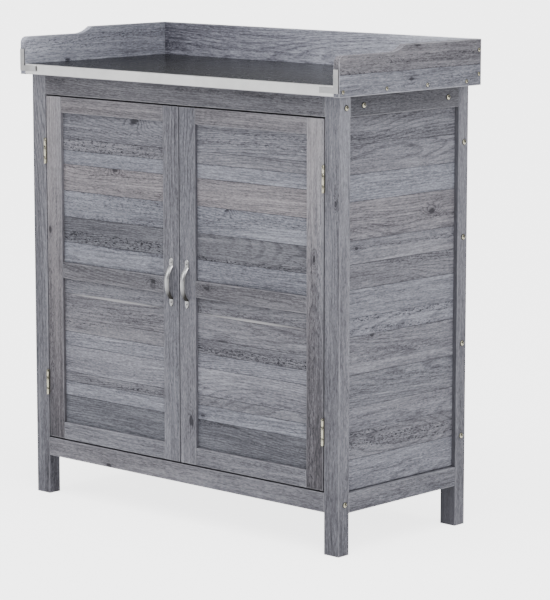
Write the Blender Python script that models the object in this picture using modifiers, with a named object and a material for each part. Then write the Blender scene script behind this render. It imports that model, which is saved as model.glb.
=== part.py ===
"""Potting bench: a two-door garden cabinet with a metal-clad worktop and splash boards.

Metres, +Z up. The origin is on the ground at the middle of the bench, the front looks along -Y.
Every sub-part is its own object. Each door hangs from an empty that stands on its hinge axis.
"""
import math

import bmesh
import bpy
from mathutils import Matrix, Vector

# Overall size
WIDTH = 0.830
DEPTH = 0.400
HEIGHT = 0.920
FIT = 0.0003                 # air between two pieces that touch

# Legs and rails
SPLASH_T = 0.013             # thickness of the splash boards
CARCASS_X = WIDTH / 2 - SPLASH_T
CARCASS_Y = 0.180            # half depth over the legs
LEG_W = 0.036                # along X
LEG_D = 0.028                # along Y
LEG_TOP = 0.8345
LEG_IN_X = CARCASS_X - LEG_W
LEG_IN_Y = CARCASS_Y - LEG_D
FRONT_SETBACK = 0.0003       # front rails and doors sit this far behind the legs' faces
FRONT_Y = -CARCASS_Y + FRONT_SETBACK
TOP_RAIL_Z = 0.7965          # underside of all four top rails
LOW_RAIL_Z = (0.078, 0.1143)
FRONT_RAIL_T = 0.018
SIDE_RAIL_T = 0.022
REAR_RAIL_T = 0.022
WOOD_ROUND = 0.0012          # rounding of the timber's edges

# Panels
GROOVE = 0.006               # depth of the grooves that hold panels
SIDE_PANEL_T = 0.008
SIDE_PANEL_X = CARCASS_X - 0.0095        # outer face of the side panels
BACK_PANEL_T = 0.012
BACK_PANEL_Y = CARCASS_Y - 0.0065        # rear face of the back panel
FLOOR_Z = (0.099, 0.111)
SHELF_Z = (0.4455, 0.4575)
SHELF_FRONT_Y = -0.150
SHELF_BATTEN_H = 0.020
WORKTOP_BATTEN = (0.020, 0.030)          # width and height
WORKTOP_BATTEN_Y = 0.118                 # both battens, from the middle

# Worktop
BOARD_Z = (0.8348, 0.8536)
BOARD_FRONT_Y = -0.1966
SHEET_T = 0.001
STRIP_T = 0.001
STRIP_LOW_Z = 0.8358
STRIP_FLANGE = 0.007
SPLASH_LOW_Z = 0.8343
SPLASH_FRONT_Y = -0.1979

# Splash side boards: low front part, curve up, high rear part
SPLASH_STEP_Z = 0.9073
SPLASH_NOSE_R = 0.013
SPLASH_RISE = (-0.056, -0.018)           # the curve's two ends along Y

# Corner brackets
BRACKET_T = 0.0018
BRACKET_UP = (0.012, 0.8840)             # width of the upright leg and its top
BRACKET_SIDE = (0.0105, 0.0450)          # height of the level leg and its length
BRACKET_LOW_Z = 0.8413

# Doors
DOOR_GAP = 0.003
DOOR_T = 0.018
DOOR_HINGE_X = LEG_IN_X - DOOR_GAP
DOOR_MEET_X = 0.0012
DOOR_Z = (LOW_RAIL_Z[1] + 0.0032, TOP_RAIL_Z - DOOR_GAP)
STILE_W = 0.041
DOOR_RAILS = {"bottom": (DOOR_Z[0], 0.1507), "mid": (0.4385, 0.4698), "top": (0.7632, DOOR_Z[1])}
MID_RAIL_SETBACK = 0.0004
DOOR_PANEL_T = 0.005
DOOR_PANEL_RECESS = 0.0068
DOOR_GROOVE = 0.0056

# Hinges: loose-leaf butt hinges whose knuckles stand in front of the door's face
HINGE_Z = (0.2268, 0.6860)               # centres of the lower and upper hinge
KNUCKLE_R = 0.0026
BORE_R = 0.0014
PIN_R = 0.0011
PIN_HEAD_R = 0.0019
PIN_HEAD_H = 0.0006
KNUCKLE_H = 0.0138                       # each of the two outer knuckles
HINGE_H = 0.0494
LEAF_T = 0.0009
LEAF_D = 0.018                           # from the pin's axis to the leaf's far edge
LEAF_CLEAR = 0.0031                      # the leaf stays this far from the axis beside a knuckle
HINGE_X = LEG_IN_X - DOOR_GAP / 2
HINGE_Y = -CARCASS_Y - KNUCKLE_R - 0.0001

# Bow handles
HANDLE_X = 0.0206
HANDLE_Z = (0.4150, 0.5070)
HANDLE_W = 0.0115
HANDLE_T = 0.0016
HANDLE_FOOT = 0.0170                     # length of each end plate
HANDLE_REACH = 0.0120                    # how far the bow stands off

# Double magnetic catch behind the doors' meeting stiles
CATCH_X = 0.0225
CATCH_Z = (0.7765, 0.8125)
CATCH_D = 0.014
STRIKE_X = (0.0045, 0.0195)
STRIKE_Z = (0.7740, 0.7900)
STRIKE_T = 0.0010

parts = None
cutters = None


def clear_scene():
    for obj in list(bpy.data.objects):
        bpy.data.objects.remove(obj, do_unlink=True)


def new_collection(name):
    collection = bpy.data.collections.new(name)
    bpy.context.scene.collection.children.link(collection)
    return collection


def make_material(name, colour, roughness, metallic=0.0):
    material = bpy.data.materials.new(name)
    material.use_nodes = True
    shader = material.node_tree.nodes["Principled BSDF"]
    shader.inputs["Base Color"].default_value = (*colour, 1.0)
    shader.inputs["Roughness"].default_value = roughness
    shader.inputs["Metallic"].default_value = metallic
    material.diffuse_color = (*colour, 1.0)
    return material


def place(obj, centre, parent=None):
    """Puts an object at a world position, under its door's hinge axis if it has one."""
    obj.location = Vector(centre)
    if parent:
        obj.parent = parent
        obj.location = Vector(centre) - parent.location


def box_mesh(name, size):
    mesh = bpy.data.meshes.new(name)
    shape = bmesh.new()
    bmesh.ops.create_cube(shape, size=1.0)
    bmesh.ops.scale(shape, vec=size, verts=shape.verts)
    shape.to_mesh(mesh)
    shape.free()
    return mesh


def box(name, x, y, z, material, parent=None, rounding=WOOD_ROUND):
    """A rounded block between two X, two Y and two Z values, given in either order."""
    spans = [sorted(pair) for pair in (x, y, z)]
    size = [high - low for low, high in spans]
    obj = bpy.data.objects.new(name, box_mesh(name, size))
    parts.objects.link(obj)
    obj.data.materials.append(material)
    place(obj, [(low + high) / 2 for low, high in spans], parent)
    if rounding:
        add_bevel(obj, rounding)
    return obj


def add_bevel(obj, width, segments=2):
    bevel = obj.modifiers.new("rounded_edges", "BEVEL")
    bevel.width = width
    bevel.segments = segments
    bevel.limit_method = "ANGLE"
    bevel.angle_limit = math.radians(40)


def hide_cutter(obj):
    cutters.objects.link(obj)
    obj.hide_render = True
    obj.display_type = "WIRE"
    return obj


def box_cutter(name, x, y, z):
    spans = [sorted(pair) for pair in (x, y, z)]
    size = [high - low for low, high in spans]
    obj = bpy.data.objects.new("cutter_" + name, box_mesh("cutter_" + name, size))
    obj.location = [(low + high) / 2 for low, high in spans]
    return hide_cutter(obj)


def cylinder_cutter(name, radius, centre, height, sides=20):
    mesh = bpy.data.meshes.new("cutter_" + name)
    shape = bmesh.new()
    bmesh.ops.create_cone(shape, cap_ends=True, segments=sides, radius1=radius, radius2=radius, depth=height)
    shape.to_mesh(mesh)
    shape.free()
    obj = bpy.data.objects.new("cutter_" + name, mesh)
    obj.location = centre
    return hide_cutter(obj)


def combine(obj, other, operation):
    step = obj.modifiers.new(operation.lower(), "BOOLEAN")
    step.operation = operation
    step.solver = "EXACT"
    step.object = other


def cut_box(obj, x, y, z):
    number = len(obj.modifiers)
    combine(obj, box_cutter(f"{obj.name}_{number}", x, y, z), "DIFFERENCE")


def arc(centre, radius, start, end, steps):
    """Points along an arc, angles in degrees."""
    angles = [math.radians(start + (end - start) * i / steps) for i in range(steps + 1)]
    return [(centre[0] + radius * math.cos(a), centre[1] + radius * math.sin(a)) for a in angles]


def outline_solid(name, points, thickness, matrix, collection):
    """A flat outline in its own X and Y, thickened evenly to both sides, as a welded mesh."""
    curve = bpy.data.curves.new(name + "_outline", "CURVE")
    curve.dimensions = "2D"
    curve.fill_mode = "BOTH"
    curve.extrude = thickness / 2
    spline = curve.splines.new("POLY")
    spline.points.add(len(points) - 1)
    for point, (u, v) in zip(spline.points, points):
        point.co = (u, v, 0.0, 1.0)
    spline.use_cyclic_u = True
    guide = bpy.data.objects.new(name + "_outline", curve)
    collection.objects.link(guide)
    guide.matrix_world = matrix
    bpy.context.view_layer.update()
    evaluated = guide.evaluated_get(bpy.context.evaluated_depsgraph_get())
    mesh = bpy.data.meshes.new_from_object(evaluated)
    mesh.name = name
    shape = bmesh.new()
    shape.from_mesh(mesh)
    bmesh.ops.remove_doubles(shape, verts=shape.verts, dist=0.00002)
    bmesh.ops.recalc_face_normals(shape, faces=shape.faces)
    shape.to_mesh(mesh)
    shape.free()
    obj = bpy.data.objects.new(name, mesh)
    obj.matrix_world = guide.matrix_world
    collection.objects.link(obj)
    bpy.data.objects.remove(guide, do_unlink=True)
    return obj


# Turns an outline's own X, Y and thickness into world Y, Z and X, or into world X, Z and Y.
SIDE_VIEW = Matrix(((0, 0, 1, 0), (1, 0, 0, 0), (0, 1, 0, 0), (0, 0, 0, 1)))
FRONT_VIEW = Matrix(((1, 0, 0, 0), (0, 0, -1, 0), (0, 1, 0, 0), (0, 0, 0, 1)))


def make_legs(wood):
    for depth_name, y_side in (("front", -1), ("rear", 1)):
        for side_name, x_side in (("left", -1), ("right", 1)):
            leg = box(
                f"leg_{depth_name}_{side_name}",
                (x_side * LEG_IN_X, x_side * CARCASS_X),
                (y_side * LEG_IN_Y, y_side * CARCASS_Y),
                (0.0, LEG_TOP),
                wood,
            )
            cut_box(
                leg,
                (x_side * (SIDE_PANEL_X + FIT), x_side * (SIDE_PANEL_X - SIDE_PANEL_T - FIT)),
                (y_side * (LEG_IN_Y - 0.001), y_side * (LEG_IN_Y + GROOVE)),
                (LOW_RAIL_Z[1] - GROOVE, TOP_RAIL_Z + GROOVE),
            )


def make_front_and_rear_rails(wood):
    x = (-LEG_IN_X + FIT, LEG_IN_X - FIT)
    top_z = (TOP_RAIL_Z, LEG_TOP)
    front_y = (FRONT_Y, FRONT_Y + FRONT_RAIL_T)
    rear_y = (CARCASS_Y - REAR_RAIL_T, CARCASS_Y - FRONT_SETBACK)
    box("front_top_rail", x, front_y, top_z, wood)
    box("rear_top_rail", x, rear_y, top_z, wood)
    front_low = box("front_bottom_rail", x, front_y, LOW_RAIL_Z, wood)
    rear_low = box("rear_bottom_rail", x, rear_y, LOW_RAIL_Z, wood)
    floor_slot = (FLOOR_Z[0] - FIT, FLOOR_Z[1] + FIT)
    wide = (-CARCASS_X, CARCASS_X)
    cut_box(front_low, wide, (front_y[1] - GROOVE, front_y[1] + 0.001), floor_slot)
    cut_box(rear_low, wide, (rear_y[0] - 0.001, rear_y[0] + GROOVE), floor_slot)


def make_side_frames(wood, panel_wood):
    y = (-LEG_IN_Y + FIT, LEG_IN_Y - FIT)
    long_y = (-DEPTH, DEPTH)
    for side_name, s in (("left", -1), ("right", 1)):
        rail_x = (s * (CARCASS_X - SIDE_RAIL_T), s * (CARCASS_X - FIT))
        slot_x = (s * (SIDE_PANEL_X - SIDE_PANEL_T - FIT), s * (SIDE_PANEL_X + FIT))
        top = box(f"side_top_rail_{side_name}", rail_x, y, (TOP_RAIL_Z, LEG_TOP), wood)
        cut_box(top, slot_x, long_y, (TOP_RAIL_Z - 0.001, TOP_RAIL_Z + GROOVE))
        low = box(f"side_bottom_rail_{side_name}", rail_x, y, LOW_RAIL_Z, wood)
        cut_box(low, slot_x, long_y, (LOW_RAIL_Z[1] - GROOVE, LOW_RAIL_Z[1] + 0.001))
        box(
            f"side_panel_{side_name}",
            (s * (SIDE_PANEL_X - SIDE_PANEL_T), s * SIDE_PANEL_X),
            (-LEG_IN_Y - GROOVE + FIT, LEG_IN_Y + GROOVE - FIT),
            (LOW_RAIL_Z[1] - GROOVE + FIT, TOP_RAIL_Z + GROOVE - FIT),
            panel_wood,
            rounding=0.0,
        )


def notch_corners(board, x_edge, y_signs):
    """Cuts a board's corners away where it passes a leg."""
    for x_side in (-1, 1):
        for y_side in y_signs:
            cut_box(
                board,
                (x_side * (LEG_IN_X - FIT), x_side * (x_edge + 0.01)),
                (y_side * (LEG_IN_Y - FIT), y_side * DEPTH / 2),
                (board.location.z - 0.02, board.location.z + 0.02),
            )


def make_inside_boards(wood, panel_wood):
    box(
        "back_panel",
        (-LEG_IN_X + FIT, LEG_IN_X - FIT),
        (BACK_PANEL_Y - BACK_PANEL_T, BACK_PANEL_Y),
        (LOW_RAIL_Z[1] + FIT, TOP_RAIL_Z - FIT),
        panel_wood,
        rounding=0.0005,
    )
    floor_x = CARCASS_X - SIDE_RAIL_T - FIT
    floor = box(
        "floor_panel",
        (-floor_x, floor_x),
        (FRONT_Y + FRONT_RAIL_T - GROOVE + FIT, CARCASS_Y - REAR_RAIL_T + GROOVE - FIT),
        FLOOR_Z,
        panel_wood,
        rounding=0.0,
    )
    notch_corners(floor, floor_x, (-1, 1))
    shelf_x = SIDE_PANEL_X - SIDE_PANEL_T - FIT
    shelf = box(
        "middle_shelf",
        (-shelf_x, shelf_x),
        (SHELF_FRONT_Y, BACK_PANEL_Y - BACK_PANEL_T - FIT),
        SHELF_Z,
        panel_wood,
        rounding=0.0008,
    )
    notch_corners(shelf, shelf_x, (1,))
    batten_y = (-LEG_IN_Y + FIT, LEG_IN_Y - FIT)
    batten_z = (SHELF_Z[0] - FIT - SHELF_BATTEN_H, SHELF_Z[0] - FIT)
    for side_name, s in (("left", -1), ("right", 1)):
        box(f"shelf_batten_{side_name}", (s * LEG_IN_X, s * shelf_x), batten_y, batten_z, wood)
    width, height = WORKTOP_BATTEN
    for place_name, side in (("front", -1), ("rear", 1)):
        middle = side * WORKTOP_BATTEN_Y
        box(
            f"worktop_batten_{place_name}",
            (-floor_x, floor_x),
            (middle - width / 2, middle + width / 2),
            (LEG_TOP - height, LEG_TOP),
            wood,
        )


def make_worktop(wood, sheet_metal, strip_metal):
    x = (-CARCASS_X + FIT, CARCASS_X - FIT)
    back_y = DEPTH / 2 - SPLASH_T - FIT
    box("worktop_board", x, (BOARD_FRONT_Y, back_y), BOARD_Z, wood, rounding=0.0006)
    sheet_z = BOARD_Z[1] + FIT
    strip_back_y = SPLASH_FRONT_Y + STRIP_FLANGE
    box(
        "worktop_sheet", x, (strip_back_y + FIT, back_y), (sheet_z, sheet_z + SHEET_T), sheet_metal, rounding=0.0
    )
    strip = box(
        "front_edge_strip",
        x,
        (SPLASH_FRONT_Y, strip_back_y),
        (STRIP_LOW_Z, sheet_z + SHEET_T),
        strip_metal,
        rounding=0.0005,
    )
    cut_box(
        strip,
        (-WIDTH, WIDTH),
        (SPLASH_FRONT_Y + STRIP_T, strip_back_y + 0.01),
        (STRIP_LOW_Z - 0.01, sheet_z),
    )


def splash_side_outline():
    """The side board seen from the side: a rounded nose, a low edge and a hollow curve up to the rear part."""
    low_y, high_y = SPLASH_RISE
    run = high_y - low_y
    rise = HEIGHT - SPLASH_STEP_Z
    turn = 2 * math.atan2(rise, run)
    radius = run / math.sin(turn)
    hollow = arc((low_y, SPLASH_STEP_Z + radius), radius, -90, -90 + math.degrees(turn), 10)
    nose_centre = (SPLASH_FRONT_Y + SPLASH_NOSE_R, SPLASH_STEP_Z - SPLASH_NOSE_R)
    nose = arc(nose_centre, SPLASH_NOSE_R, 180, 90, 8)
    rear_y = DEPTH / 2
    corners = [(rear_y, HEIGHT), (rear_y, SPLASH_LOW_Z), (SPLASH_FRONT_Y, SPLASH_LOW_Z)]
    return nose + hollow + corners


def make_splash_boards(wood):
    for side_name, s in (("left", -1), ("right", 1)):
        centre_x = s * (CARCASS_X + SPLASH_T / 2)
        matrix = Matrix.Translation((centre_x, 0, 0)) @ SIDE_VIEW
        board = outline_solid(f"splash_{side_name}", splash_side_outline(), SPLASH_T, matrix, parts)
        board.data.materials.append(wood)
        add_bevel(board, 0.0009)
    box(
        "splash_back",
        (-CARCASS_X + FIT, CARCASS_X - FIT),
        (DEPTH / 2 - SPLASH_T, DEPTH / 2),
        (SPLASH_LOW_Z, HEIGHT),
        wood,
        rounding=0.0009,
    )


def make_brackets(metal):
    """Flat L plates on the front corners, over the ends of the side boards and of the edge strip."""
    up_width, up_top = BRACKET_UP
    side_height, side_length = BRACKET_SIDE
    low = BRACKET_LOW_Z
    outer = WIDTH / 2 - 0.0004
    middle_y = SPLASH_FRONT_Y - FIT - BRACKET_T / 2
    for side_name, s in (("left", -1), ("right", 1)):
        corners = [
            (outer, low),
            (outer, up_top),
            (outer - up_width, up_top),
            (outer - up_width, low + side_height),
            (outer - side_length, low + side_height),
            (outer - side_length, low),
        ]
        points = [(s * x, z) for x, z in corners]
        matrix = Matrix.Translation((0, middle_y, 0)) @ FRONT_VIEW
        plate = outline_solid(f"corner_bracket_{side_name}", points, BRACKET_T, matrix, parts)
        plate.data.materials.append(metal)
        add_bevel(plate, 0.0004)


def make_door_frame(side_name, s, axis, wood, panel_wood):
    """Two stiles and three rails around two recessed panels."""
    y = (FRONT_Y, FRONT_Y + DOOR_T)
    panel_y = (FRONT_Y + DOOR_PANEL_RECESS, FRONT_Y + DOOR_PANEL_RECESS + DOOR_PANEL_T)
    slot_y = (panel_y[0] - FIT, panel_y[1] + FIT)
    inner = {"hinge": DOOR_HINGE_X - STILE_W, "centre": DOOR_MEET_X + STILE_W}
    outer = {"hinge": DOOR_HINGE_X, "centre": DOOR_MEET_X}
    for stile_name, inward in (("hinge", -1), ("centre", 1)):
        stile = box(
            f"door_{side_name}_{stile_name}_stile",
            (s * outer[stile_name], s * inner[stile_name]),
            y,
            DOOR_Z,
            wood,
            axis,
        )
        groove_x = (s * (inner[stile_name] - inward * DOOR_GROOVE), s * (inner[stile_name] + inward * 0.001))
        cut_box(stile, groove_x, slot_y, (DOOR_RAILS["bottom"][1] - DOOR_GROOVE, DOOR_RAILS["top"][0] + DOOR_GROOVE))
    rail_x = (s * (inner["centre"] + FIT), s * (inner["hinge"] - FIT))
    long_x = (s * -0.01, s * WIDTH / 2)
    for rail_name, (low, high) in DOOR_RAILS.items():
        setback = MID_RAIL_SETBACK if rail_name == "mid" else 0.0
        rail = box(f"door_{side_name}_{rail_name}_rail", rail_x, (y[0] + setback, y[1]), (low, high), wood, axis)
        if rail_name != "bottom":
            cut_box(rail, long_x, slot_y, (low - 0.001, low + DOOR_GROOVE))
        if rail_name != "top":
            cut_box(rail, long_x, slot_y, (high - DOOR_GROOVE, high + 0.001))
    tongue = DOOR_GROOVE - FIT
    panel_x = (s * (inner["centre"] - tongue), s * (inner["hinge"] + tongue))
    for panel_name, below, above in (("lower", "bottom", "mid"), ("upper", "mid", "top")):
        z = (DOOR_RAILS[below][1] - tongue, DOOR_RAILS[above][0] + tongue)
        box(f"door_{side_name}_{panel_name}_panel", panel_x, panel_y, z, panel_wood, axis, rounding=0.0)


def make_leaf(name, s, towards_leg, centre_z, knuckle_spans, metal, axis=None):
    """A hinge leaf in the gap beside the door, with its share of the knuckles."""
    sign = s if towards_leg else -s
    near = FIT
    leaf_x = (s * HINGE_X + sign * near, s * HINGE_X + sign * (near + LEAF_T))
    low, high = centre_z - HINGE_H / 2, centre_z + HINGE_H / 2
    leaf = box(name, leaf_x, (HINGE_Y + LEAF_CLEAR, HINGE_Y + LEAF_D), (low, high), metal, axis, rounding=0.0)
    tab_y = (HINGE_Y + (KNUCKLE_R + BORE_R) / 2, HINGE_Y + LEAF_CLEAR + 0.001)
    for number, (start, end) in enumerate(knuckle_spans):
        middle = (HINGE_X * s, HINGE_Y, centre_z + (start + end) / 2)
        z = (centre_z + start, centre_z + end)
        combine(leaf, box_cutter(f"{name}_tab_{number}", leaf_x, tab_y, z), "UNION")
        knuckle = cylinder_cutter(f"{name}_knuckle_{number}", KNUCKLE_R, middle, end - start)
        combine(leaf, knuckle, "UNION")
        combine(leaf, cylinder_cutter(f"{name}_bore_{number}", BORE_R, middle, end - start + 0.004), "DIFFERENCE")


def make_pin(name, position, metal):
    """A turned pin with a small button at each end."""
    half = HINGE_H / 2 + FIT
    head = half + PIN_HEAD_H
    profile = [
        (0.0, head), (PIN_HEAD_R * 0.7, head), (PIN_HEAD_R, half + PIN_HEAD_H / 2), (PIN_HEAD_R, half),
        (PIN_R, half), (PIN_R, -half),
        (PIN_HEAD_R, -half), (PIN_HEAD_R, -half - PIN_HEAD_H / 2), (PIN_HEAD_R * 0.7, -head), (0.0, -head),
    ]
    shape = bmesh.new()
    verts = [shape.verts.new((x, 0.0, z)) for x, z in profile]
    for first, second in zip(verts, verts[1:]):
        shape.edges.new((first, second))
    mesh = bpy.data.meshes.new(name)
    shape.to_mesh(mesh)
    shape.free()
    pin = bpy.data.objects.new(name, mesh)
    parts.objects.link(pin)
    pin.data.materials.append(metal)
    pin.location = position
    turn = pin.modifiers.new("turned", "SCREW")
    turn.steps = turn.render_steps = 16
    turn.use_merge_vertices = True
    turn.merge_threshold = 0.00005
    turn.use_smooth_shade = True


def make_hinges(side_name, s, axis, metal):
    half = HINGE_H / 2
    outer_knuckles = ((-half, -half + KNUCKLE_H), (half - KNUCKLE_H, half))
    middle_knuckle = ((-half + KNUCKLE_H + FIT, half - KNUCKLE_H - FIT),)
    for level, z in (("lower", HINGE_Z[0]), ("upper", HINGE_Z[1])):
        end = f"{side_name}_{level}"
        make_leaf(f"hinge_leg_leaf_{end}", s, True, z, outer_knuckles, metal)
        make_leaf(f"hinge_door_leaf_{end}", s, False, z, middle_knuckle, metal, axis)
        make_pin(f"hinge_pin_{end}", (s * HINGE_X, HINGE_Y, z), metal)


def handle_profile():
    """The strip seen from the side: two flat feet and a shallow bow, as one closed outline."""
    low, high = HANDLE_Z
    half = (high - low) / 2
    middle = (low + high) / 2
    spring = half - HANDLE_FOOT
    radius = (spring ** 2 + HANDLE_REACH ** 2) / (2 * HANDLE_REACH)
    spread = math.degrees(math.asin(spring / radius))
    face = FRONT_Y - FIT
    centre_y = face + radius - HANDLE_REACH - HANDLE_T
    outer = arc((centre_y, middle), radius, 180 + spread, 180 - spread, 18)
    inner_radius = radius - HANDLE_T
    inner_spread = math.degrees(math.acos((centre_y - face) / inner_radius))
    inner = arc((centre_y, middle), inner_radius, 180 - inner_spread, 180 + inner_spread, 18)
    top_foot = [(face - HANDLE_T, high), (face, high)]
    low_foot = [(face, low), (face - HANDLE_T, low)]
    return outer + top_foot + inner + low_foot


def make_handle(side_name, s, axis, metal):
    name = f"handle_{side_name}"
    matrix = Matrix.Translation((s * HANDLE_X, 0, 0)) @ SIDE_VIEW
    handle = outline_solid(name, handle_profile(), HANDLE_W, matrix, parts)
    handle.data.materials.append(metal)
    half = HANDLE_W / 2
    low, high = HANDLE_Z
    ends = arc((0, high - half), half, 0, 180, 12) + arc((0, low + half), half, 180, 360, 12)
    stadium_at = Matrix.Translation((s * HANDLE_X, FRONT_Y - 0.01, 0)) @ FRONT_VIEW
    stadium = outline_solid("cutter_" + name, ends, 0.04, stadium_at, cutters)
    stadium.hide_render = True
    stadium.display_type = "WIRE"
    combine(handle, stadium, "INTERSECT")
    bpy.context.view_layer.update()
    handle.parent = axis
    handle.matrix_parent_inverse = axis.matrix_world.inverted()


def make_catch(plastic, metal, axes):
    back_y = FRONT_Y + DOOR_T
    front_y = back_y + FIT + STRIKE_T + FIT
    catch = box(
        "magnetic_catch", (-CATCH_X, CATCH_X), (front_y, front_y + CATCH_D), CATCH_Z, plastic, rounding=0.0006
    )
    flange = box_cutter(
        "catch_flange", (-CATCH_X, CATCH_X), (back_y + FIT, front_y + 0.002), (TOP_RAIL_Z + 0.002, CATCH_Z[1])
    )
    combine(catch, flange, "UNION")
    for side_name, s in (("left", -1), ("right", 1)):
        box(
            f"strike_plate_{side_name}",
            (s * STRIKE_X[0], s * STRIKE_X[1]),
            (back_y + FIT, back_y + FIT + STRIKE_T),
            STRIKE_Z,
            metal,
            axes[side_name],
            rounding=0.0,
        )


def make_hinge_axis(side_name, s):
    axis = bpy.data.objects.new(f"door_{side_name}_hinge_axis", None)
    axis.empty_display_size = 0.05
    axis.location = (s * HINGE_X, HINGE_Y, HINGE_Z[0])
    parts.objects.link(axis)
    return axis


def build():
    global parts, cutters
    clear_scene()
    parts = new_collection("potting_bench")
    cutters = new_collection("potting_bench_cutters")
    wood = make_material("stained_timber", (0.19, 0.20, 0.23), 0.75)
    panel_wood = make_material("stained_panel_timber", (0.17, 0.185, 0.22), 0.78)
    sheet_metal = make_material("worktop_metal", (0.10, 0.10, 0.11), 0.35, 0.9)
    strip_metal = make_material("edge_strip_metal", (0.62, 0.62, 0.61), 0.35, 1.0)
    bracket_metal = make_material("bracket_metal", (0.55, 0.55, 0.54), 0.4, 1.0)
    hinge_metal = make_material("hinge_metal", (0.60, 0.57, 0.45), 0.35, 1.0)
    handle_metal = make_material("handle_metal", (0.55, 0.54, 0.52), 0.35, 1.0)
    catch_plastic = make_material("catch_plastic", (0.05, 0.05, 0.05), 0.5)

    make_legs(wood)
    make_front_and_rear_rails(wood)
    make_side_frames(wood, panel_wood)
    make_inside_boards(wood, panel_wood)
    make_worktop(wood, sheet_metal, strip_metal)
    make_splash_boards(wood)
    make_brackets(bracket_metal)
    axes = {}
    for side_name, s in (("left", -1), ("right", 1)):
        axis = axes[side_name] = make_hinge_axis(side_name, s)
        make_door_frame(side_name, s, axis, wood, panel_wood)
        make_hinges(side_name, s, axis, hinge_metal)
        make_handle(side_name, s, axis, handle_metal)
    make_catch(catch_plastic, hinge_metal, axes)
    bpy.context.view_layer.update()


build()
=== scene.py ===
"""Looks of the potting bench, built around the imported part.

Materials come first, then the panels of glued boards, the fasteners, hinges and handles, and last the studio.
Metres throughout, in the part's own frame: +X is the bench's right, -Y its front, +Z up, the floor at z = 0.
"""
import math
import random

import bmesh
import bpy
import numpy as np
from mathutils import Matrix, Vector


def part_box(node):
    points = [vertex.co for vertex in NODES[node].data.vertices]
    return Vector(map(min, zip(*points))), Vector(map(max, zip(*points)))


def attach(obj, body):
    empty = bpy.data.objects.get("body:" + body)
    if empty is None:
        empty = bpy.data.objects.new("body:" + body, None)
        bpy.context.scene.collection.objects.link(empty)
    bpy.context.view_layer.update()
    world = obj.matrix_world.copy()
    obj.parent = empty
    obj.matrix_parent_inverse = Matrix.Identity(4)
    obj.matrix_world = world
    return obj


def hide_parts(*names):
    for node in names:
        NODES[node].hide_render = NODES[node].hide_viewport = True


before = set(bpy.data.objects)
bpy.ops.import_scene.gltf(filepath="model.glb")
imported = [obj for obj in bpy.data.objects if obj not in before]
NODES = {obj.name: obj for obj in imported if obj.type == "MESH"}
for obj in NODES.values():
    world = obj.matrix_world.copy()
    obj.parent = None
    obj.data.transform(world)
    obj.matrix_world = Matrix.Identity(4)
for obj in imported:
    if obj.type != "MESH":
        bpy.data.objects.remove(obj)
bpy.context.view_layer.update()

SIDES = {"left": -1, "right": 1}

# ---------------------------------------------------------------- node helpers


class Net:
    """Adds nodes to one tree. An input may be a number, a tuple or another node's output."""

    def __init__(self, tree):
        self.tree = tree

    def add(self, kind, inputs=None, **settings):
        node = self.tree.nodes.new(kind)
        for key, value in settings.items():
            setattr(node, key, value)
        self.feed(node, inputs or {})
        return node

    def feed(self, node, inputs):
        """Sets or links a node's inputs."""
        for key, value in inputs.items():
            if isinstance(value, bpy.types.NodeSocket):
                self.tree.links.new(value, node.inputs[key])
            else:
                node.inputs[key].default_value = value

    def math(self, operation, a, b=0.0, c=0.0):
        return self.add("ShaderNodeMath", {0: a, 1: b, 2: c}, operation=operation).outputs[0]

    def times(self, a, b):
        return self.math("MULTIPLY", a, b)

    def plus(self, *terms):
        total = terms[0]
        for term in terms[1:]:
            total = self.math("ADD", total, term)
        return total

    def minus(self, a, b):
        return self.math("SUBTRACT", a, b)

    def larger(self, a, b):
        return self.math("MAXIMUM", a, b)

    def smaller(self, a, b):
        return self.math("MINIMUM", a, b)

    def vector(self, operation, a, b=(0, 0, 0)):
        node = self.add("ShaderNodeVectorMath", {0: a, 1: b}, operation=operation)
        return node.outputs["Value" if operation in ("LENGTH", "DOT_PRODUCT") else "Vector"]

    def scaled(self, vector, factor):
        node = self.add("ShaderNodeVectorMath", {0: vector, "Scale": factor}, operation="SCALE")
        return node.outputs["Vector"]

    def split(self, vector):
        return self.add("ShaderNodeSeparateXYZ", {0: vector}).outputs

    def join(self, x, y, z):
        return self.add("ShaderNodeCombineXYZ", {0: x, 1: y, 2: z}).outputs[0]

    def place(self):
        """The shaded point, in the object's own coordinates."""
        return self.add("ShaderNodeTexCoord").outputs["Object"]

    def facing(self, direction):
        """How squarely the surface looks along a direction, times that direction's length."""
        return self.vector("DOT_PRODUCT", self.add("ShaderNodeTexCoord").outputs["Normal"], direction)

    def noise(self, point, stretch, detail=2.0, rough=0.5, swirl=0.0):
        """Noise of about 0..1, with features of 1/stretch metres on each axis."""
        node = self.add("ShaderNodeTexNoise", {"Vector": self.vector("MULTIPLY", point, stretch), "Scale": 1.0,
                                               "Detail": detail, "Roughness": rough, "Distortion": swirl})
        return node.outputs[0]

    def step(self, value, low, high, start=0.0, end=1.0):
        """Goes smoothly from start to end as value goes from low to high."""
        node = self.add("ShaderNodeMapRange", {"Value": value, "From Min": low, "From Max": high,
                                               "To Min": start, "To Max": end},
                        interpolation_type="SMOOTHSTEP")
        return node.outputs[0]

    def sway(self, value, amount):
        """(value - 0.5) * amount."""
        return self.math("MULTIPLY_ADD", value, amount, -0.5 * amount)

    def mix(self, share, a, b, blend="MIX"):
        node = self.add("ShaderNodeMix", {0: share, 6: a, 7: b}, data_type="RGBA", blend_type=blend)
        return node.outputs[2]

    def ramp(self, value, stops):
        node = self.add("ShaderNodeValToRGB", {0: value})
        points = node.color_ramp.elements
        while len(points) < len(stops):
            points.new(0.5)
        for point, (place, colour) in zip(points, stops):
            point.position, point.color = place, (*colour, 1)
        return node.outputs[0]

    def attribute(self, name):
        return self.add("ShaderNodeAttribute", attribute_name=name).outputs["Fac"]

    def bump(self, strength, distance, height):
        inputs = {"Strength": strength, "Distance": distance, "Height": height}
        return self.add("ShaderNodeBump", inputs).outputs[0]


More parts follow.
